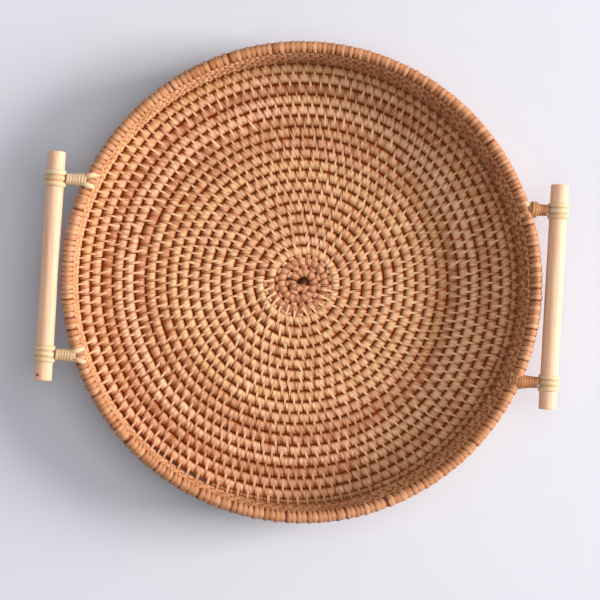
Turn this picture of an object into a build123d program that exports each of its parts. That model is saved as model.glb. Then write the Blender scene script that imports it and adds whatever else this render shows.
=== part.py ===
from build123d import *
import math
import os

# A round serving tray of coiled rattan with two bar handles, lying flat: +Z is up, the origin is the
# centre of the underside, and the handles are at -X and +X. Front is -Y and rear is +Y.
# The floor is one long cane laid in a flat spiral that runs outwards clockwise seen from above. Level
# hoops stand on its edge as the wall and the rim. Peel is bound round each cane as a closed sleeve.

# ---- driving dimensions, mm
tray_diameter = 300.0        # over the rim
coil_pitch = 6.9             # between neighbouring turns of the floor coil
floor_half_turns = 39        # half turns of full size cane in the floor
splices = (0, 18, 30, 39)    # half turns at which one length of cane gives way to the next
cane_radius = 2.3            # core cane of the floor and wall
floor_sleeve_radius = 3.2    # outside of the peel round the floor cane
wall_sleeve_radius = 3.1     # outside of the peel round a wall hoop
rim_cane_radius = 3.2        # thicker cane of the rim
rim_sleeve_radius = 4.0      # outside of the peel round the rim
floor_height = 3.0           # centre line of the floor coil; its sleeve is worn flat below zero
wall_rows = 4                # hoops between the corner hoop and the rim
wall_pitch = 6.5             # height from one wall row to the next
wall_lean = 0.5              # each wall row is this much wider than the one below
row_clearance = 0.2          # between the top wall row and the rim

bar_radius = 5.5             # round handle bar
bar_length = 141.0
bar_edge_round = 0.8         # sanded edge of the bar's sawn ends
bar_offset = 157.0           # from the tray's centre to a bar's axis
arm_spread = 54.0            # from the middle of a bar to each arm
arm_core_radius = 2.1        # peg inside the arm
arm_wrap_radius = 3.5        # outside of the peel wound round the peg
arm_wrap_ends = 0.2          # the winding stops this short of its neighbours
band_count = 3               # turns of peel round the bar at each arm
band_width = 3.4
band_gap = 0.15
band_thickness = 1.2
prong_spread = 3.15          # from the arm's middle to each prong of the rim tie
prong_width = 2.0
prong_thickness = 0.9
cope_clearance = 0.05        # a shaped end stops this short of the round it sits on

tail_clearance = 0.35        # between the shaved tail and the turns beside it
tail_full_diameter = 5.9     # of the bound tail where it starts
tail_least_diameter = 1.0    # where the shaved tail runs out
tail_step = 15               # degrees between sections of the tail

# ---- worked out from the above
rim_radius = tray_diameter / 2 - rim_sleeve_radius
floor_end_radius = coil_pitch / 4 + floor_half_turns * coil_pitch / 2
corner_radius = floor_end_radius + coil_pitch
top_row_height = floor_height + wall_rows * wall_pitch
rim_height = top_row_height + wall_sleeve_radius + row_clearance + rim_sleeve_radius


def ring_section(outer, inner, radius, height):
    """Section of a bound cane or its sleeve in the XZ plane, worn flat at the underside of the tray."""
    section = Circle(outer)
    if inner > 0:
        section -= Circle(inner)
    overshoot = height - outer
    if overshoot < 0:
        section -= Pos(0, -height + overshoot) * Rectangle(4 * outer, -2 * overshoot)
    return Plane.XZ * Pos(radius, height) * section


def hoop(outer, inner, radius, height):
    """A closed level hoop about the tray's axis."""
    return revolve(ring_section(outer, inner, radius, height), axis=Axis.Z)


def spiral(outer, inner, first, last):
    """Half turns first to last of the floor coil, each a half ring whose centre is off the tray's axis
    by a quarter of the pitch, to one side and the other in turn, so that they meet in line."""
    half_rings = []
    for turn in range(first, last):
        side = 1 if turn % 2 else -1
        centre = side * coil_pitch / 4
        radius = (turn + 1) * coil_pitch / 2
        section = ring_section(outer, inner, centre + side * radius, floor_height)
        half_rings.append(revolve(section, axis=Axis((centre, 0, 0), (0, 0, 1)), revolution_arc=180))
    return half_rings[0].fuse(*half_rings[1:])


def coil_start_knot():
    """The folded start of the coil: a rounded cap on the first end of the cane."""
    cap = Pos(coil_pitch / 4, 0, floor_height) * Sphere(floor_sleeve_radius)
    ahead = Pos(0, -coil_pitch, floor_height) * Box(4 * coil_pitch, 2 * coil_pitch, 4 * coil_pitch)
    below = Pos(0, 0, -coil_pitch) * Box(4 * coil_pitch, 4 * coil_pitch, 2 * coil_pitch)
    return cap - ahead - below


def floor_coil_tail():
    """The shaved end of the coil: it goes once round in the narrowing space between the last turn and
    the corner hoop, filling that space less a clearance, until it runs out."""
    space_outside = corner_radius - floor_sleeve_radius
    sections = []
    for swept in range(0, 360, tail_step):
        angle = math.radians(180 - swept)
        inside_turn = floor_half_turns - 2 if swept < 180 else floor_half_turns - 1
        side = 1 if inside_turn % 2 else -1
        centre = side * coil_pitch / 4
        reach = (inside_turn + 1) * coil_pitch / 2 + floor_sleeve_radius
        space_inside = centre * math.cos(angle) + math.sqrt(reach**2 - (centre * math.sin(angle))**2)
        diameter = space_outside - space_inside - 2 * tail_clearance
        if diameter < tail_least_diameter:
            break
        middle = (space_outside + space_inside) / 2
        out = Vector(math.cos(angle), math.sin(angle), 0)
        along = Vector(math.sin(angle), -math.cos(angle), 0)
        plane = Plane(origin=out * middle + Vector(0, 0, floor_height), x_dir=out, z_dir=along)
        sections.append(plane * Circle(min(diameter, tail_full_diameter) / 2))
    return loft(sections)


def arm_core(x_side, y_side):
    """The peg between rim and bar, its ends hollowed to sit on the rim's and the lashing's rounds."""
    start = rim_radius * math.cos(math.asin(arm_spread / rim_radius))
    length = bar_offset - start
    peg = Pos(x_side * (start + length / 2), y_side * arm_spread, rim_height)
    peg *= Rot(0, 90, 0) * Cylinder(arm_core_radius, length)
    rim = Pos(0, 0, rim_height) * Torus(rim_radius, rim_sleeve_radius + cope_clearance)
    lashing = Pos(x_side * bar_offset, 0, rim_height) * Rot(90, 0, 0)
    lashing *= Cylinder(bar_radius + band_thickness + cope_clearance, bar_length)
    return peg - rim - lashing


def arm_wrap(x_side, y_side):
    """The peel wound round the peg, from the rim tie to the bar's lashing."""
    nearest_prong = arm_spread - prong_spread - prong_width / 2
    start = math.sqrt(rim_radius**2 - nearest_prong**2) + tie_half_width() + arm_wrap_ends
    end = bar_offset - bar_radius - band_thickness - arm_wrap_ends
    tube = Cylinder(arm_wrap_radius, end - start) - Cylinder(arm_core_radius, end - start)
    place = Pos(x_side * (start + end) / 2, y_side * arm_spread, rim_height) * Rot(0, 90, 0)
    return place * tube


def bar_lashing(x_side, y_side):
    """Flat turns of peel round the bar, side by side at the arm."""
    outer = bar_radius + band_thickness
    band = Cylinder(outer, band_width) - Cylinder(bar_radius, band_width)
    bands = []
    for turn in range(band_count):
        shift = (turn - (band_count - 1) / 2) * (band_width + band_gap)
        place = Pos(x_side * bar_offset, y_side * arm_spread + shift, rim_height)
        bands.append(place * Rot(90, 0, 0) * band)
    return Compound(children=bands)


def tie_inner_half_width():
    """Half width across X of a prong's loop: the rim is crossed at a slant, so it is wider than tall."""
    slant = math.asin((arm_spread + prong_spread) / rim_radius)
    drift = math.tan(slant) * prong_width / 2
    return rim_sleeve_radius / math.cos(slant) + drift + 2 * cope_clearance


def tie_half_width():
    """Half width across X of the outside of a prong's loop."""
    return tie_inner_half_width() + prong_thickness


def rim_tie(x_side, y_side, play=0.0):
    """Two prongs of peel, each a closed loop over the rim and back through the wall below it."""
    inner_height = rim_sleeve_radius + 2 * cope_clearance
    outside = Ellipse(tie_half_width() + play, inner_height + prong_thickness + play)
    inside = Ellipse(tie_inner_half_width(), inner_height)
    loops = []
    for prong in (-1, 1):
        across = arm_spread + prong * prong_spread
        x = math.sqrt(rim_radius**2 - across**2)
        place = Plane(origin=(x_side * x, y_side * across, rim_height), x_dir=(1, 0, 0), z_dir=(0, -1, 0))
        loops.append(extrude(place * (outside - inside), amount=prong_width / 2 + play, both=True))
    return Compound(children=loops)


def handle_bar(x_side):
    """A round wooden bar with sanded ends."""
    bar = Cylinder(bar_radius, bar_length)
    bar = fillet(bar.edges().filter_by(GeomType.CIRCLE), bar_edge_round)
    return Pos(x_side * bar_offset, 0, rim_height) * Rot(90, 0, 0) * bar


# ---- assembly
nodes = {"coil_start_knot": coil_start_knot(), "floor_coil_tail": floor_coil_tail()}
for length in range(1, len(splices)):
    first, last = splices[length - 1], splices[length]
    nodes[f"floor_cane_{length}"] = spiral(cane_radius, 0, first, last)
    nodes[f"floor_binding_{length}"] = spiral(floor_sleeve_radius, cane_radius, first, last)

nodes["corner_hoop"] = hoop(cane_radius, 0, corner_radius, floor_height)
nodes["corner_binding"] = hoop(floor_sleeve_radius, cane_radius, corner_radius, floor_height)
for row in range(1, wall_rows + 1):
    radius = corner_radius + row * wall_lean
    height = floor_height + row * wall_pitch
    nodes[f"wall_hoop_{row}"] = hoop(cane_radius, 0, radius, height)
    nodes[f"wall_binding_{row}"] = hoop(wall_sleeve_radius, cane_radius, radius, height)
nodes["rim_hoop"] = hoop(rim_cane_radius, 0, rim_radius, rim_height)
nodes["rim_binding"] = hoop(rim_sleeve_radius, rim_cane_radius, rim_radius, rim_height)

for x_side, side_name in ((-1, "left"), (1, "right")):
    nodes[f"{side_name}_handle_bar"] = handle_bar(x_side)
    for y_side, end_name in ((-1, "front"), (1, "rear")):
        name = f"{side_name}_{end_name}"
        nodes[f"{name}_arm_core"] = arm_core(x_side, y_side)
        nodes[f"{name}_arm_wrap"] = arm_wrap(x_side, y_side)
        nodes[f"{name}_bar_lashing"] = bar_lashing(x_side, y_side)
        nodes[f"{name}_rim_tie"] = rim_tie(x_side, y_side)
        # the prongs pass between the rim and the top wall row, whose peel is pressed in under them
        groove = rim_tie(x_side, y_side, cope_clearance)
        nodes[f"wall_binding_{wall_rows}"] -= groove

os.makedirs("parts", exist_ok=True)
for name, solid in nodes.items():
    export_step(solid, f"parts/{name}.step")
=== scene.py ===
import math

import bpy
import numpy as np
from mathutils import Matrix, Vector


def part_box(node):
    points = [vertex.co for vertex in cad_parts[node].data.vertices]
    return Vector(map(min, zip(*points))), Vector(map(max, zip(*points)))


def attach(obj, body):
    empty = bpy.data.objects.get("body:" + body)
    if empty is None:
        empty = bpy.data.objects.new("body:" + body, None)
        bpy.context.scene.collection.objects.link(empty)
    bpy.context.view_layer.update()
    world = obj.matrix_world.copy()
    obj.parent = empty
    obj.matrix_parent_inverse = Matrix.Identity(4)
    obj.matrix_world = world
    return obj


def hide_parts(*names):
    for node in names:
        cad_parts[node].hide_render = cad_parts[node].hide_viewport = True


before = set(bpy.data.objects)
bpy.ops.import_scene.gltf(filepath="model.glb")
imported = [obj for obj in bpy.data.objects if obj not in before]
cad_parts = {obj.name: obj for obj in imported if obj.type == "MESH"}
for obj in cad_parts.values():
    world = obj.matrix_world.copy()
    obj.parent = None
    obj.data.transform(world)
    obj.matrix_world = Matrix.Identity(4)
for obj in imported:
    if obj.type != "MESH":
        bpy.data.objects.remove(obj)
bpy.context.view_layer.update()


# ---- Core cane
# Round rattan cane, coiled flat for the floor and bent into hoops for the wall and the rim.
# It is stained with the rest of the tray, and shows only as dark brown in the pits between stitches.

mm = 0.001


def linear(hex_colour):
    """Linear RGBA of an sRGB hex colour: c / 12.92 when dark, else ((c + 0.055) / 1.055) ** 2.4."""
    channels = [int(hex_colour[i:i + 2], 16) / 255 for i in (1, 3, 5)]
    return [c / 12.92 if c <= 0.04045 else ((c + 0.055) / 1.055) ** 2.4 for c in channels] + [1.0]


def new_material(name, roughness):
    """A node material with its Principled shader; returns the material, its tree and the shader."""
    material = bpy.data.materials.new(name)
    material.use_nodes = True
    shader = material.node_tree.nodes["Principled BSDF"]
    shader.inputs["Roughness"].default_value = roughness
    shader.inputs["Specular IOR Level"].default_value = 0.25
    return material, material.node_tree, shader


def add(tree, kind, settings=None, **inputs):
    """Adds a node with its settings. An input is named, with _ for a space, or numbered, as in i0: a
    socket is linked to it and a value is set on it. A dict under the name stops sets a ramp's colours."""
    node = tree.nodes.new(kind)
    for name, value in (settings or {}).items():
        setattr(node, name, value)
    stops = inputs.pop("stops", {})
    while stops and len(node.color_ramp.elements) < len(stops):
        node.color_ramp.elements.new(0.5)
    for i, (position, colour) in enumerate(stops.items()):
        node.color_ramp.elements[i].position = position
        node.color_ramp.elements[i].color = linear(colour)
    for name, value in inputs.items():
        socket = node.inputs[int(name[1:])] if name[1:].isdigit() else node.inputs[name.replace("_", " ")]
        if isinstance(value, bpy.types.NodeSocket):
            tree.links.new(value, socket)
        else:
            socket.default_value = value
    return node


def stained_cane():
    """Rattan core cane under brown stain: porous and matt, with streaks a few millimetres long."""
    material, tree, shader = new_material("stained rattan cane", 0.75)
    place = add(tree, "ShaderNodeTexCoord").outputs["Object"]
    streaks = add(tree, "ShaderNodeTexNoise", Vector=place, Scale=0.25 / mm, Detail=4.0)
    colour = add(tree, "ShaderNodeValToRGB", Fac=streaks.outputs[0], stops={0.3: "#6A3012", 0.7: "#94501F"})
    tree.links.new(colour.outputs[0], shader.inputs["Base Color"])
    return material


def dress(node, material):
    """Gives a CAD node that stays in sight its material."""
    for material_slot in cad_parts[node].material_slots:
        material_slot.material = material


cane_material = stained_cane()
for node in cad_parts:
    if "_cane_" in node or "_hoop" in node or "arm_core" in node:
        dress(node, cane_material)


# ---- Peel binding of the floor
# Split rattan peel, about 2 mm wide, is wound over the new turn of cane, and one stitch in three goes over
# the turn inside it too. That long stitch bridges the groove and lies between the inner turn's two short
# ones, so that the three look like one pad, and it sinks between the pads where it starts.

pitch = 6.9 * mm                 # between neighbouring turns of the floor
floor_half_turns = 39
splices = (0, 18, 30, 39)        # half turns where the lengths of cane end
floor_low, floor_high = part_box("corner_hoop")
cane_radius = (floor_high.z - floor_low.z) / 2
floor_height = (floor_high.z + floor_low.z) / 2
corner_radius = floor_high.x - cane_radius
peel_thickness = 0.85 * mm
stitch_spacing = 6.08 * mm       # along the cane, from one long stitch to the next
slant = 1.0 * mm                 # a stitch runs back this much, against the coil, over one pitch
# middle and half width of the strands that share the spacing, as parts of it: the long stitch itself, the
# two short ones that lie close as a pad, and the next turn's long one, which comes in between them
own_half = 0.12
first_short, second_short, short_half = 0.3, 0.695, 0.185
guest, guest_half = 0.52, 0.135
slant_weight = 0.8               # of long stitches that all slant alike, against even spacing
chance = np.random.default_rng(20)


def uneven(number, spread, lowest, highest, middle=0.0):
    """Hand-made variation: random values about the middle with the given spread, cut at both ends."""
    return np.clip(chance.normal(middle, spread, number), lowest, highest)


def short_path(bare):
    """Once round one cane of the given bare radii: points at bare * normal, as the normal turns evenly.
    Returns points and normals, as arrays of strands x 12 x (out, up)."""
    turn = np.arange(12) / 12 * 2 * math.pi
    normal = np.stack([np.cos(turn), np.sin(turn)], -1) * np.ones((len(bare), 1, 1))
    return bare[:, None, None] * normal, normal


def long_path(inner_bare, outer_bare, span, dip):
    """Round two canes a span apart, like a rubber band: an arc of seven points on each, ending where the
    common tangents touch, and a point midway along each straight that dips towards the groove."""
    lean = np.arcsin((outer_bare - inner_bare) / span)
    sweep = np.linspace(1, -1, 7)
    turn = np.stack([(math.pi / 2 + lean)[:, None] * sweep, math.pi + (math.pi / 2 - lean)[:, None] * sweep])
    outer_normal, inner_normal = np.stack([np.cos(turn), np.sin(turn)], -1)
    outer = outer_bare[:, None, None] * outer_normal + np.stack([span, 0 * span], -1)[:, None]
    inner = inner_bare[:, None, None] * inner_normal
    under = (outer[:, -1:] + inner[:, :1]) / 2 - dip * inner_normal[:, :1]
    over = (inner[:, -1:] + outer[:, :1]) / 2 - dip * outer_normal[:, :1]
    points = np.concatenate([outer, under, inner, over], axis=1)
    normal = np.concatenate([outer_normal, inner_normal[:, :1], inner_normal, outer_normal[:, :1]], axis=1)
    return points, normal


def lay(path, thickness, centre, origin, outwards, angle, lean, half, widen, fill=1.25 * mm, stain=0.0,
        bevel=0.86, edge=0.3, open_side=False):
    """Lays strands on a cane. The path's plane passes through the axis at X = centre: radius and height
    are origin + out * outwards + up * (outwards turned a quarter). Across, a strand has a flat crown and
    bevelled edges, and its clockwise angle is angle + lean * out, give or take half + widen * out. Where
    it is pressed into a groove it is square, as thick as fill, and a third wider. Returns points, strands
    x path x 4 x XYZ, and shade painted into the colour, from 0 on the crown to 1 down in the groove, more
    towards the edges and by the amount given for a sunk strand: partly stain that gathers there, partly
    painted shade."""
    across = np.array([-1, -bevel, bevel, 1])
    arch = np.array([0, 1, 1, 0])
    points, normal = path
    squeeze = np.abs(normal[..., :1]) ** 4
    depth = thickness + (fill - thickness) * squeeze[..., 0]
    pressed = (arch + 0.9 * squeeze * (1 - arch)) * depth[..., None]
    lifted = points[:, :, None] + normal[:, :, None] * pressed[..., None]
    out, up = lifted[..., 0], lifted[..., 1]
    spread = [np.asarray(v)[..., None, None] * np.ones_like(out) for v in (centre, angle, lean, half, widen)]
    centre, angle, lean, half, widen = spread
    turn = angle + lean * out + (half + widen * out) * across * (1 + 0.35 * squeeze)
    radius = origin[0][:, None, None] + out * outwards[0][:, None, None] - up * outwards[1][:, None, None]
    height = origin[1][:, None, None] + out * outwards[1][:, None, None] + up * outwards[0][:, None, None]
    spot = np.stack([centre + radius * np.cos(turn), -radius * np.sin(turn), np.maximum(height, 0)], -1)
    # painted shade: it grows as the strand turns down into a groove, towards its edges and by the amount
    # added for sunk strands, and there is none on an open outer side; partly stain that gathers there, partly
    # the shade that falls there
    groove = np.clip((0.9 - np.abs(normal[..., 1])) / 0.45, 0, 1)
    groove = np.where((normal[..., 0] > 0) & open_side, 0, groove) + stain
    return spot, np.clip(groove[:, :, None] + edge * (1 - arch), 0, 1)


def strand_piece(name, groups, material, stands_for):
    """One piece of many strands. A group is points, strands x path x across x XYZ, their shade, and each
    strand's tint of three values. Every strand is a ring, closed along its path and across. The fibre
    map runs along the strand and across it in metres."""
    columns, faces, first = [], [], 0
    for points, shade, tint in groups:
        strands, path, across = points.shape[:3]
        s, i, j = np.indices((strands, path, across))
        rows = [(i, j), (i, (j + 1) % across), ((i + 1) % path, (j + 1) % across), ((i + 1) % path, j)]
        faces.append(first + np.stack([(s * path + a) * across + b for a, b in rows], -1).reshape(-1, 4))
        steps = np.diff(points[:, :, 1], axis=1, prepend=points[:, :1, 1])
        run = np.cumsum(np.linalg.norm(steps, axis=-1), axis=1) + chance.random((strands, 1))
        values = [points, tint[:, None, None] * np.ones((1, path, across, 1)), shade[..., None]]
        values += [run[:, :, None, None] * np.ones((1, 1, across, 1))]
        values += [np.linspace(-mm, mm, across)[:, None] * np.ones((strands, path, 1, 1))]
        columns.append(np.concatenate(values, axis=-1).reshape(-1, 9))
        first += strands * path * across
    columns, faces = np.concatenate(columns), np.concatenate(faces)
    mesh = bpy.data.meshes.new(name)
    mesh.vertices.add(len(columns))
    mesh.vertices.foreach_set("co", columns[:, :3].ravel())
    mesh.loops.add(faces.size)
    mesh.loops.foreach_set("vertex_index", faces.ravel())
    mesh.polygons.add(len(faces))
    mesh.polygons.foreach_set("loop_start", np.arange(len(faces)) * 4)
    mesh.update(calc_edges=True)
    mesh.shade_smooth()
    mesh.set_sharp_from_angle(angle=math.radians(70))
    # the tint's alpha carries the painted shade
    tint = mesh.attributes.new("tint", "FLOAT_COLOR", "POINT")
    tint.data.foreach_set("color", columns[:, 3:7].ravel())
    fibre = mesh.uv_layers.new(name="fibre")
    fibre.uv.foreach_set("vector", columns[faces.ravel(), 7:9].ravel())
    piece = bpy.data.objects.new(name, mesh)
    bpy.context.scene.collection.objects.link(piece)
    mesh.materials.append(material)
    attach(piece, "root")
    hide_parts(*stands_for)
    return piece


def strips(count, length=28):
    """Tint of the stitches along a row: a strip of peel keeps its hue and its depth for some dozens of
    stitches, and each stitch differs from the next. Returns hue, depth and the stitch's own, 0 to 1."""
    joins = np.cumsum(chance.random(count) < 1 / length)
    hue, depth = chance.random(count + 1)[joins], chance.random(count + 1)[joins]
    return np.stack([hue, depth, chance.random(count)], 1)


def peel(name, light, dark, stain, roughness):
    """Split rattan peel under stain and thin varnish: a satin skin with fibres lengthwise, 0.2 mm apart
    in the real one and drawn 0.4 mm apart so that they show. The strip's hue runs between the two
    colours of light and of dark. Towards the edges and down in the grooves the skin is mixed to the dark
    stain colour: partly stain that gathers there, partly painted shade."""
    material, tree, shader = new_material(name, roughness)
    tint = add(tree, "ShaderNodeAttribute", {"attribute_name": "tint"})
    part = add(tree, "ShaderNodeSeparateColor", Color=tint.outputs["Color"]).outputs
    depth = add(tree, "ShaderNodeMix", i0=0.4, i2=part["Green"], i3=part["Blue"])
    cool = add(tree, "ShaderNodeValToRGB", Fac=depth.outputs[0], stops={0.0: dark[0], 1.0: light[0]})
    warm = add(tree, "ShaderNodeValToRGB", Fac=depth.outputs[0], stops={0.0: dark[1], 1.0: light[1]})
    skin = add(tree, "ShaderNodeMix", {"data_type": "RGBA"}, i0=part["Red"],
               i6=cool.outputs[0], i7=warm.outputs[0])
    fibre = add(tree, "ShaderNodeUVMap", {"uv_map": "fibre"})
    along = add(tree, "ShaderNodeMapping", Vector=fibre.outputs[0], Scale=(0.3 / mm, 2.5 / mm, 1.0))
    fibres = add(tree, "ShaderNodeTexNoise", Vector=along.outputs[0], Scale=1.0, Detail=3.0)
    streak = add(tree, "ShaderNodeValToRGB", Fac=fibres.outputs[0], stops={0.3: "#CFCFCF", 0.65: "#FFFFFF"})
    skin = add(tree, "ShaderNodeMix", {"data_type": "RGBA", "blend_type": "MULTIPLY"}, i0=0.45,
               i6=skin.outputs[2], i7=streak.outputs[0])
    # painted shade: the tint's alpha mixes the skin to the dark stain colour at the edges and in the grooves
    skin = add(tree, "ShaderNodeMix", {"data_type": "RGBA"}, i0=tint.outputs["Alpha"],
               i6=skin.outputs[2], i7=linear(stain))
    tree.links.new(skin.outputs[2], shader.inputs["Base Color"])
    bump = add(tree, "ShaderNodeBump", Height=fibres.outputs[0], Strength=0.15, Distance=0.1 * mm)
    tree.links.new(bump.outputs[0], shader.inputs["Normal"])
    return material


def coil_turn(angle):
    """X of the centre and radius of the coil at an angle counted clockwise from its start: each half turn
    is a half circle, with its centre a quarter pitch to one side or the other, half a pitch larger."""
    half_turn = np.floor(angle / math.pi)
    return np.where(half_turn % 2 == 1, 1, -1) * pitch / 4, (half_turn + 1) * pitch / 2


# stitches are counted out along the coil, closer together on its first tight turns
floor_end = floor_half_turns * math.pi
chain_end = floor_end + 1.6 * math.pi          # the shaved tail carries stitches this far
fine_angle = np.linspace(0, chain_end, 40000)
fine_radius = coil_turn(fine_angle)[1]
fine_spacing = stitch_spacing * (1 - 0.36 * np.exp(-((fine_radius / (20 * mm)) ** 4)))
fine_count = np.cumsum(fine_radius / fine_spacing) * (fine_angle[1] - fine_angle[0])
stitch = np.interp(np.arange(0.5, fine_count[-1]), fine_count, fine_angle)
radius = coil_turn(stitch)[1]
spacing = np.interp(stitch, fine_angle, fine_spacing)
stitch += uneven(len(stitch), 0.07, -0.15, 0.15) * spacing / radius

# each long stitch goes to the nearest place that is free on the turn inside it
places = stitch[:-1] + np.diff(stitch) * guest
wanted = places + 2 * math.pi - slant / (radius[:-1] + pitch)
nearest = np.abs(stitch[:, None] - wanted).argmin(axis=1)
miss = np.abs(stitch - wanted[nearest])
by_place = np.lexsort((miss, nearest))
closest = by_place[np.unique(nearest[by_place], return_index=True)[1]]
heart = 20 * mm                  # inside this radius: one broad bead a spacing, and no long stitches
near = miss[closest] < spacing[closest] / radius[closest]
long_ones = np.sort(closest[near & (radius[closest] > heart + pitch / 2)])
under = nearest[long_ones]

# least squares weighs even spacing against long stitches that all slant alike
count = len(stitch)
system = np.zeros((count, count))
result = np.zeros(count)


def weigh(columns, factors, value):
    """Adds (sum of factors * angles at columns - value) ** 2 to the least squares sum, for each row."""
    for a, factor_a in zip(columns, factors):
        np.add.at(result, a, factor_a * value)
        for b, factor_b in zip(columns, factors):
            np.add.at(system, (a, b), factor_a * factor_b)


each = np.arange(count - 1)
weigh([each + 1, each], [radius[:-1], -radius[:-1]], radius[:-1] * np.diff(stitch))
pull = slant_weight * radius[long_ones]
weigh([long_ones, under, under + 1], [pull, -pull * (1 - guest), -pull * guest],
      pull * (2 * math.pi - slant / radius[long_ones]))
ends = np.array([0, count - 1])
weigh([ends], [radius[ends]], radius[ends] * stitch[ends])
stitch = np.linalg.solve(system, result)
room = np.diff(stitch, append=2 * stitch[-1] - stitch[-2])       # angle from one long stitch to the next
centre, radius = coil_turn(stitch)

tray_peel = peel("stained rattan peel", ("#F3C6A3", "#F2CC9B"), ("#AE7350", "#B27C4E"), "#9C4C14", 0.55)
long_slots = np.full(count, -1)
long_slots[long_ones] = under
filled = np.zeros(count, bool)
filled[under] = True


def thick(number):
    """Thickness of each strand: the peel's, give or take a twelfth."""
    return (peel_thickness * (1 + uneven(number, 0.08, -0.2, 0.2)))[:, None]


def short_stitches(centre, radius, angle, half, bare, tint, height, outwards=None, **more):
    """Strands round one cane each, leaning as the long ones do. half is the half width as an angle."""
    number = len(angle)
    outwards = (np.ones(number), np.zeros(number)) if outwards is None else outwards
    lean = -(slant / pitch + uneven(number, 0.04, -0.08, 0.1, middle=0.02)) / radius
    angle = angle + half * uneven(number, 0.08, -0.15, 0.15)
    half = half * (1 + uneven(number, 0.05, -0.1, 0.06))
    spot, shade = lay(short_path(bare), thick(number), centre, (radius, height), outwards,
                      angle, lean, half, 0 * half, **more)
    return spot, shade, tint


# over its own cane a long stitch lies lower than its neighbours, and is painted darker there for the shade
# it lies in; over the other it comes up between the two short ones, level with them or not
long_lift = np.array([0.5] * 7 + [0.8] + [1.0] * 7 + [0.8])
long_stain = np.array([0.55] + [0.8] * 5 + [0.55] + [0.0] * 9)


def long_stitches(centre, outer, inner, tint, dip=0.15 * mm, **more):
    """Strands round two canes each. outer and inner hold radius, height, bare radius, angle and half
    width as an angle."""
    outer_radius, outer_height, outer_bare, outer_angle, outer_half = outer
    inner_radius, inner_height, inner_bare, inner_angle, inner_half = inner
    number = len(outer_angle)
    span = np.hypot(outer_radius - inner_radius, outer_height - inner_height)
    outwards = ((outer_radius - inner_radius) / span, (outer_height - inner_height) / span)
    width = 1 + uneven(number, 0.05, -0.1, 0.06)
    proud = np.where(np.arange(16) > 7, 0.75 + 0.35 * chance.random((number, 1)), 1)
    # the sunk part over its own cane gets painted shade
    more = {"stain": long_stain, "lift": long_lift * proud} | more
    thickness = thick(number) * more.pop("lift")
    spot, shade = lay(long_path(inner_bare, outer_bare, span, dip), thickness, centre,
                      (inner_radius, inner_height), outwards, inner_angle, (outer_angle - inner_angle) / span,
                      inner_half * width, (outer_half - inner_half) * width / span, **more)
    return spot, shade, tint


own_tint = strips(count)
in_heart = radius < heart
own_tint[in_heart] *= [0.1, 0.3, 1]              # darker, pinker peel
next_to_heart = ~in_heart & (radius < heart + pitch)
own_tint[next_to_heart] = own_tint[next_to_heart] * 0.2 + 0.8        # and then a turn of the palest
bare = np.full(count, cane_radius)
level = np.full(count, floor_height)


def shorts(which, middle, half, cane_middle=None, cane_bare=None, rise=0.0, **more):
    """Short stitches of the coil, at a part of the spacing after the long stitches numbered which."""
    cane_middle = radius[which] if cane_middle is None else cane_middle
    cane_bare = bare[which] if cane_bare is None else cane_bare
    tint = own_tint[which] * [1, 1, 0] + chance.random((len(which), 1)) * [0, 0, 1]
    return short_stitches(centre[which], cane_middle, stitch[which] + middle * room[which],
                          half * room[which], cane_bare, tint, height=level[which] + rise, **more)


def longs_down(which, cane_middle=None, cane_bare=None):
    """Long stitches of the coil, from the cane that they belong to down to the turn inside it."""
    cane_middle = radius[which] if cane_middle is None else cane_middle
    cane_bare = bare[which] if cane_bare is None else cane_bare
    slots = long_slots[which]
    slot_angle = stitch[slots] + guest * room[slots] + 2 * math.pi
    outer = cane_middle, level[which], cane_bare, stitch[which], own_half * room[which]
    inner = radius[which] - pitch, level[which], bare[which], slot_angle, guest_half * room[slots]
    return long_stitches(centre[which], outer, inner, own_tint[which])


bead_half = 0.36                 # of the heart's beads, as a part of the spacing
knot_half = 0.34                 # and of the small knots in the groove outside each of its turns
knot_bare = 0.55 * mm
knot_rise = 1.3 * mm

for piece_number, (start, end) in enumerate(zip(splices, splices[1:]), 1):
    here = (stitch >= start * math.pi) & (stitch < end * math.pi)
    lone = np.flatnonzero(here & (long_slots < 0))
    free = np.flatnonzero(here & ~filled & (stitch < floor_end - 2 * math.pi))
    beads = np.flatnonzero(here & in_heart)
    groups = [
        longs_down(np.flatnonzero(here & (long_slots >= 0))),
        shorts(np.flatnonzero(here & ~in_heart), first_short, short_half),
        shorts(np.flatnonzero(here & ~in_heart), second_short, short_half),
        # beads and knots of the heart are painted dark towards their edges, for the shade in the gaps between
        # them
        shorts(beads, 0.5, bead_half, edge=0.75),
        shorts(beads, 0.1, knot_half, radius[beads] + pitch / 2, np.full(len(beads), knot_bare), edge=0.7,
               rise=knot_rise),
        # short stitches where no long one went, painted darker at the edges and all over for the shade of the
        # sunk line
        shorts(lone, 0, own_half, edge=0.8, stain=0.5),
        shorts(free[~in_heart[free]], guest, guest_half),
    ]
    strand_piece(f"floor_stitches_{piece_number}", groups, tray_peel,
                 [f"floor_binding_{piece_number}"])


# ---- Tail of the floor coil
# The last turn of cane is shaved to a long taper, which fills the crescent between the coil and the
# round corner hoop. It is bound like the rest, down to where it is too thin to hold a stitch.

def tail_at(angle):
    """Radius of the tail's middle, and its bare radius: it fills the space between the last turn's
    stitches and the corner's, less the thickness of its own peel."""
    centre, radius = coil_turn(angle)
    inside = radius - pitch + cane_radius + peel_thickness
    wall = corner_radius - cane_radius - peel_thickness
    outside = -centre * np.cos(angle) + np.sqrt(wall**2 - (centre * np.sin(angle)) ** 2)
    return (inside + outside) / 2, np.clip((outside - inside) / 2 - peel_thickness, 0.3 * mm, cane_radius)


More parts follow.
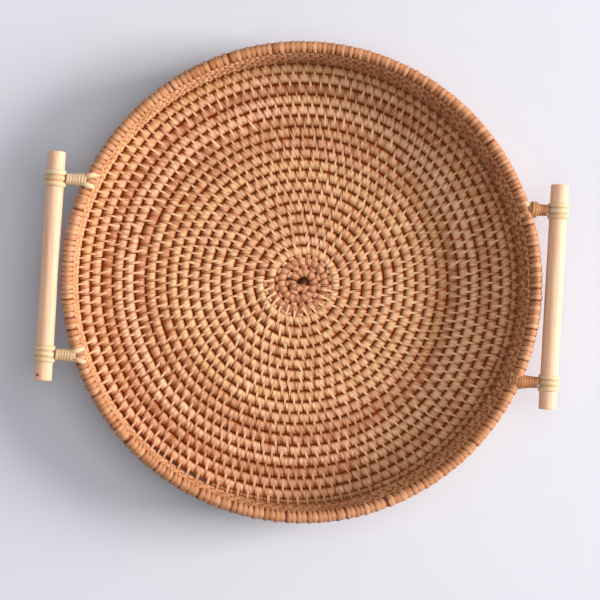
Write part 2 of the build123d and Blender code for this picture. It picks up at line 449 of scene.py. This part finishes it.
tail = np.flatnonzero(stitch >= floor_end)
tail_middle, tail_bare = tail_at(stitch[tail])
tied = long_slots[tail] >= 0
groups = [
    longs_down(tail[tied], tail_middle[tied], tail_bare[tied]),
    shorts(tail, first_short, short_half, tail_middle, tail_bare),
    shorts(tail, second_short, short_half, tail_middle, tail_bare),
    shorts(tail[~tied], 0, own_half, tail_middle[~tied], tail_bare[~tied]),
]
strand_piece("tail_stitches", groups, tray_peel, ["floor_coil_tail"])

core_rings, core_sides = 160, 8
core_angle = np.linspace(floor_end, chain_end + 0.02, core_rings)
core_middle, core_bare = tail_at(core_angle)
core_centre = coil_turn(core_angle)[0]
round_angle = np.linspace(0, 2 * math.pi, core_sides, endpoint=False)
core_radius = core_middle[:, None] + core_bare[:, None] * np.cos(round_angle)
core_points = np.stack([
    core_centre[:, None] + core_radius * np.cos(core_angle)[:, None],
    -core_radius * np.sin(core_angle)[:, None],
    floor_height + core_bare[:, None] * np.sin(round_angle),
], -1).reshape(-1, 3)
i, j = np.indices((core_rings - 1, core_sides)).reshape(2, -1)
beside = (j + 1) % core_sides
core_faces = np.stack([i, i, i + 1, i + 1], -1) * core_sides + np.stack([j, beside, beside, j], -1)
last_ring = (core_rings - 1) * core_sides
core_ends = [list(range(core_sides))[::-1], list(range(last_ring, last_ring + core_sides))]
core_mesh = bpy.data.meshes.new("tail_core")
core_mesh.from_pydata(core_points, [], core_faces.tolist() + core_ends)
core_mesh.materials.append(cane_material)
core_mesh.shade_smooth()
tail_core = bpy.data.objects.new("tail_core", core_mesh)
bpy.context.scene.collection.objects.link(tail_core)
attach(tail_core, "root")
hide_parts("floor_coil_tail")


# ---- Corner and wall bindings
# The wall is the same work, row on row: every hoop is bound to the one below it, from the corner hoop,
# which is bound to the rim of the floor, up to the fourth wall hoop.

def from_axis(angle, centre, radius):
    """Radius and clockwise angle about the tray's axis of a point given about another centre."""
    x, y = centre + radius * np.cos(angle), -radius * np.sin(angle)
    return np.hypot(x, y), np.unwrap(np.arctan2(-y, x))


last_hold = chain_end - 0.25 * math.pi         # past here the tail is too thin for the corner's stitches
edge = np.flatnonzero((stitch > last_hold - 2 * math.pi) & (stitch < last_hold))
on_tail = stitch[edge] > floor_end
edge_angle = stitch[edge] + guest * room[edge]
edge_middle, edge_bare = tail_at(edge_angle)
edge_middle = np.where(on_tail, edge_middle, radius[edge])
edge_bare = np.where(on_tail, edge_bare, cane_radius)
below_radius, below_angle = from_axis(edge_angle, centre[edge], edge_middle)
below = below_radius, np.full(len(edge), floor_height), edge_bare, below_angle, guest_half * room[edge]

wall_hoops = ["corner_hoop"] + [f"wall_hoop_{i}" for i in range(1, 5)]
for row, hoop in enumerate(wall_hoops):
    low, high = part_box(hoop)
    ones = np.ones(len(below_angle))
    hoop_radius, hoop_height = (high.x - cane_radius) * ones, (high.z + low.z) / 2 * ones
    angle = below[3] - slant / hoop_radius
    space = np.diff(angle, append=angle[0] + 2 * math.pi)
    span = np.hypot(hoop_radius - below[0], hoop_height - below[1])
    outwards = (hoop_radius - below[0]) / span, (hoop_height - below[1]) / span
    tint = strips(len(ones))
    hoop_bare = cane_radius * ones
    groups = [long_stitches(0.0, (hoop_radius, hoop_height, hoop_bare, angle, own_half * space), below, tint)]
    for part in (first_short, second_short):
        groups.append(short_stitches(0.0, hoop_radius, angle + part * space, short_half * space, hoop_bare,
                                     tint, hoop_height, outwards))
    strand_piece(hoop.replace("hoop", "stitches"), groups, tray_peel,
                 [hoop.replace("hoop", "binding")])
    below = hoop_radius, hoop_height, hoop_bare, angle + guest * space, guest_half * space


# ---- Rim binding
# A thicker hoop closes the wall. Its peel is wider, about 3 mm, and browner, and stitches that go down
# round the top wall row take turns with stitches round the rim alone.

rim_low, rim_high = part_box("rim_hoop")
rim_bare = (rim_high.z - rim_low.z) / 2
rim_height = (rim_high.z + rim_low.z) / 2
rim_radius = rim_high.x - rim_bare
ones = np.ones(len(below[0]))
angle = below[3] - slant / rim_radius
space = np.diff(angle, append=angle[0] + 2 * math.pi)
angle += space * uneven(len(ones), 0.06, -0.1, 0.1)
span = np.hypot(rim_radius - below[0], rim_height - below[1])
outwards = (rim_radius - below[0]) / span, (rim_height - below[1]) / span
rim_peel = peel("stained rim peel", ("#D8A480", "#D69E70"), ("#A96E4A", "#A86A3E"), "#5E260C", 0.5)
tint = strips(len(ones))
rim_half = 0.228 * space
rim_row = rim_radius * ones, rim_height * ones, rim_bare * ones, angle, rim_half
# painted shade on the rim stitches: full at their edges, and none on the rim's open outer side
rounded = {"bevel": 0.55, "edge": 1.0, "fill": 0.8 * mm, "open_side": True}
groups = [
    long_stitches(0.0, rim_row, below, tint, lift=0.5, stain=0.0, **rounded),
    short_stitches(0.0, rim_radius * ones, angle + space / 2, rim_half, rim_bare * ones,
                   strips(len(ones)), rim_height * ones, outwards, **rounded),
]
strand_piece("rim_stitches", groups, rim_peel, ["rim_binding"])


# ---- Start of the coil
# The first few stitches are knotted over the end of the cane.

# the knot is painted dark, for the shade of the hole at the start of the coil
knot_painted_shade = peel("knot peel, painted shade", ("#6A3A20", "#6A3A20"), ("#57290F", "#57290F"), "#3A1A0A", 0.6)
dress("coil_start_knot", knot_painted_shade)


# ---- Handle bars
# Turned and sanded hardwood dowels, pale and unstained, with fine straight grain along them.

def bare_wood():
    """Pale sanded wood with a thin clear coat: long fine grain, faint broad bands, and one pin knot."""
    material, tree, shader = new_material("sanded beech", 0.5)
    pin_place, pin_radius = (-160.2 * mm, -67.2 * mm, 40.6 * mm), 1.3 * mm      # left bar, near its front end
    place = add(tree, "ShaderNodeTexCoord").outputs["Object"]
    along = add(tree, "ShaderNodeMapping", Vector=place, Scale=(1.0 / mm, 0.04 / mm, 1.0 / mm))
    grain = add(tree, "ShaderNodeTexNoise", Vector=along.outputs[0], Scale=1.0, Detail=5.0)
    colour = add(tree, "ShaderNodeValToRGB", Fac=grain.outputs[0], stops={0.3: "#D8AC8E", 0.7: "#ECC6AA"})
    spot = add(tree, "ShaderNodeMapping", Vector=place, Location=[-v / pin_radius for v in pin_place],
               Scale=[1 / pin_radius] * 3)
    pin = add(tree, "ShaderNodeTexGradient", {"gradient_type": "SPHERICAL"}, Vector=spot.outputs[0])
    pin = add(tree, "ShaderNodeValToRGB", Fac=pin.outputs[0], stops={0.1: "#000000", 0.5: "#FFFFFF"})
    colour = add(tree, "ShaderNodeMix", {"data_type": "RGBA"}, i0=pin.outputs[0], i6=colour.outputs[0],
                 i7=linear("#4A3224"))
    tree.links.new(colour.outputs[2], shader.inputs["Base Color"])
    return material


wood = bare_wood()
dress("left_handle_bar", wood)
dress("right_handle_bar", wood)


# ---- Arms, lashings and rim ties
# Each bar is held by two short arms of cane, lashed to the bar by three bands and tied to the rim by two
# prongs of pale peel. The left arms are wound with pale peel and the right ones with brown, which is
# partly a browner peel and partly painted shade for the bar's shadow that falls on them.

# brown peel for the right arms: partly a browner peel, partly painted shade for the bar's shadow on them
brown_shaded_peel = peel("brown rattan peel, painted shade", ("#C08C60", "#BE8858"), ("#945E3A", "#925A36"), "#6A3A1A", 0.5)
pale_peel = peel("natural rattan peel", ("#E9D3B2", "#E7CCA6"), ("#D6B88E", "#D0AE82"), "#8A5A30", 0.5)
band_thickness = 1.2 * mm
wrap_width = 1.7 * mm            # about, for each turn wound on an arm
swell, swell_reach = 1.2 * mm, 11 * mm         # the winding thickens by this much over this distance
rounded_end = np.array([1.3, 0.5, 0.1]) * mm   # taken off its first three turns, on the rim
collar = 1.4 * mm
prong_spread = 2.9 * mm          # from the arm's middle to a prong, which crosses the rim at a slant
prong_reach, prong_slant = 4.5 * mm, 1.2 * mm
# how far over the rim each arm's winding runs, how high its tie rides the rim, and the winding's colour:
# the left pair are tied over the rim, the right front one is wound over it, the right rear one goes under
# the right pair's brown winding has painted shade in it, for the bar's shadow
arm_ends = {
    "left_front": (3.5 * mm, 4.0 * mm, pale_peel),
    "left_rear": (3.5 * mm, 4.0 * mm, pale_peel),
    "right_front": (8.0 * mm, 2.6 * mm, brown_shaded_peel),
    "right_rear": (3.5 * mm, 3.1 * mm, brown_shaded_peel),
}


def bands(middle, first, second, across, half, lift, turns=28):
    """Closed flat bands round an oval: the path is middle + first * cos + second * sin, and across, the
    arch of five points spans half to each side and rises by lift. Arrays hold one value a band."""
    turn = np.arange(turns) / turns * 2 * math.pi
    span = np.array([-1, -0.7, 0, 0.7, 1])
    arch = np.array([0.0, 0.8, 1, 0.8, 0.0])
    cos, sin = np.cos(turn)[None, :, None], np.sin(turn)[None, :, None]
    path = middle[:, None] + first[:, None] * cos + second[:, None] * sin
    normal = first[:, None] / np.linalg.norm(first, axis=-1)[:, None, None] * cos
    normal = normal + second[:, None] / np.linalg.norm(second, axis=-1)[:, None, None] * sin
    points = path[:, :, None] + normal[:, :, None] * (arch * lift)[:, None]
    points = points + across[:, None, None] * (span * half)[:, None]
    # painted shade, darker towards each band's edges
    shade = 0.3 * np.abs(span) ** 4 * np.ones(points.shape[:2] + (1,))
    return points, shade, chance.random((len(middle), 3))


for side, sign in (("left", -1), ("right", 1)):
    bar_low, bar_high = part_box(f"{side}_handle_bar")
    bar_x, bar_z = (bar_low.x + bar_high.x) / 2, (bar_low.z + bar_high.z) / 2
    bar_radius = (bar_high.x - bar_low.x) / 2
    for end in ("front", "rear"):
        name = f"{side}_{end}"
        low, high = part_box(f"{name}_bar_lashing")
        y = (low.y + high.y) / 2
        step = (high.y - low.y) / 3
        sway = chance.normal(0, 0.25 * mm, 3)
        middle = np.array([[bar_x, y + i * step, bar_z] for i in (-1, 0, 1)])
        upright = np.array([[0, 0, bar_radius]] * 3)
        level_way = np.stack([np.full(3, bar_radius), sway, np.zeros(3)], -1)
        group = bands(middle, upright, level_way, np.array([[0, 1.0, 0]] * 3), step * 0.5, band_thickness)
        strand_piece(f"{name}_lashing_bands", [group], pale_peel, [f"{name}_bar_lashing"])

        # flat turns wind the peg from the lashing in to the rim, swelling on to it and rounded off
        over_rim, tie_rise, wrap_peel = arm_ends[name]
        low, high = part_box(f"{name}_arm_wrap")
        wrap_radius = (high.z - low.z) / 2
        bar_end = max(abs(low.x), abs(high.x))
        rim_end = math.sqrt((rim_radius + rim_bare + 0.5 * mm) ** 2 - y**2) - over_rim
        wraps = round((bar_end - rim_end) / wrap_width)
        width = (bar_end - rim_end) / wraps
        wrap_x = rim_end + width * (np.arange(wraps) + 0.5)
        out = wrap_radius - 0.2 * mm + swell * np.clip((bar_end - wrap_x) / swell_reach, 0, 1) ** 2
        out[:3] -= rounded_end
        if name == "right_rear":
            out[2:4] = wrap_radius + collar            # a paler collar where it meets the rim
        middle = np.stack([sign * wrap_x, np.full(wraps, y), np.full(wraps, bar_z)], -1)
        level_way = np.stack([0 * out + 0.3 * mm, out, 0 * out], -1)
        upright = np.stack([0 * out, 0 * out, out], -1)
        across = np.array([[1.0, 0, 0]] * wraps)
        group = bands(middle, level_way, upright, across, width * 0.55, 0.25 * mm, turns=20)
        if name == "right_rear":
            group[2][2:4] = 1
        strand_piece(f"{name}_arm_bands", [group], wrap_peel, [f"{name}_arm_wrap"])

        # two prongs run together at the arm and part as they cross the rim
        side_ways = np.array([-1, 1])
        prong_y = y + side_ways * prong_spread
        prong_x = sign * (np.sqrt(rim_radius**2 - prong_y**2) + 0.9 * mm)
        middle = np.stack([prong_x, prong_y, np.full(2, rim_height)], -1)
        level_way = np.stack([np.full(2, prong_reach), -sign * side_ways * prong_slant, np.zeros(2)], -1)
        upright = np.array([[0, 0, tie_rise]] * 2)
        across = np.array([[0, 1.0, 0]] * 2)
        group = bands(middle, upright, level_way, across, 1.6 * mm, 0.6 * mm, turns=24)
        strand_piece(f"{name}_tie_prongs", [group], pale_peel, [f"{name}_rim_tie"])


# ---- Floor, light and camera
# A plain pale table top, a large soft light low on the right and a weak one above, and the camera over
# the tray.

def table_top():
    """Matt painted board, with a trace of unevenness that only softens the light."""
    material, tree, shader = new_material("matt painted board", 0.8)
    place = add(tree, "ShaderNodeTexCoord").outputs["Object"]
    cloud = add(tree, "ShaderNodeTexNoise", Vector=place, Scale=4.0, Detail=2.0)
    colour = add(tree, "ShaderNodeValToRGB", Fac=cloud.outputs[0], stops={0.3: "#C7CEDC", 0.7: "#CBD2E0"})
    tree.links.new(colour.outputs[0], shader.inputs["Base Color"])
    return material


floor_mesh = bpy.data.meshes.new("floor")
table_half, table_height = 4.0, -0.05 * mm      # a hair below the tray's underside
corners = [(x * table_half, y * table_half, table_height) for x, y in ((-1, -1), (1, -1), (1, 1), (-1, 1))]
floor_mesh.from_pydata(corners, [], [(0, 1, 2, 3)])
floor_mesh.materials.append(table_top())
floor = bpy.data.objects.new("floor", floor_mesh)
bpy.context.scene.collection.objects.link(floor)


def soft_light(name, place, size, power, colour):
    """A square area light that faces the middle of the tray."""
    data = bpy.data.lights.new(name, "AREA")
    data.size = size
    data.energy = power
    data.color = linear(colour)[:3]
    light = bpy.data.objects.new(name, data)
    light.location = place
    light.rotation_euler = (-Vector(place)).to_track_quat("-Z", "Y").to_euler()
    bpy.context.scene.collection.objects.link(light)


soft_light("key_light", (3.0, 0.4, 1.3), 1.4, 185, "#FFF4EA")
soft_light("fill_light", (0.3, 0.1, 1.9), 1.6, 15, "#FFF8F2")
world = bpy.data.worlds.new("studio")
world.use_nodes = True
world.node_tree.nodes["Background"].inputs["Color"].default_value = linear("#F4F0EE")
world.node_tree.nodes["Background"].inputs["Strength"].default_value = 0.42
bpy.context.scene.world = world
bpy.context.scene.view_settings.view_transform = "Standard"

camera_data = bpy.data.cameras.new("camera")
camera_data.lens = 115.1
camera_data.sensor_width = 36.0
camera = bpy.data.objects.new("camera", camera_data)
bpy.context.scene.collection.objects.link(camera)
tilt = (Matrix.Rotation(math.radians(-1.0), 4, "X") @ Matrix.Rotation(math.radians(4.5), 4, "Y")
        @ Matrix.Rotation(math.radians(-3.42), 4, "Z"))
away = Matrix.Translation((2.6 * mm, 11.4 * mm, -1190 * mm))
to_rim = Matrix.Translation((0, 0, -rim_height))
camera.matrix_world = (away @ tilt @ to_rim).inverted()
bpy.context.scene.camera = camera
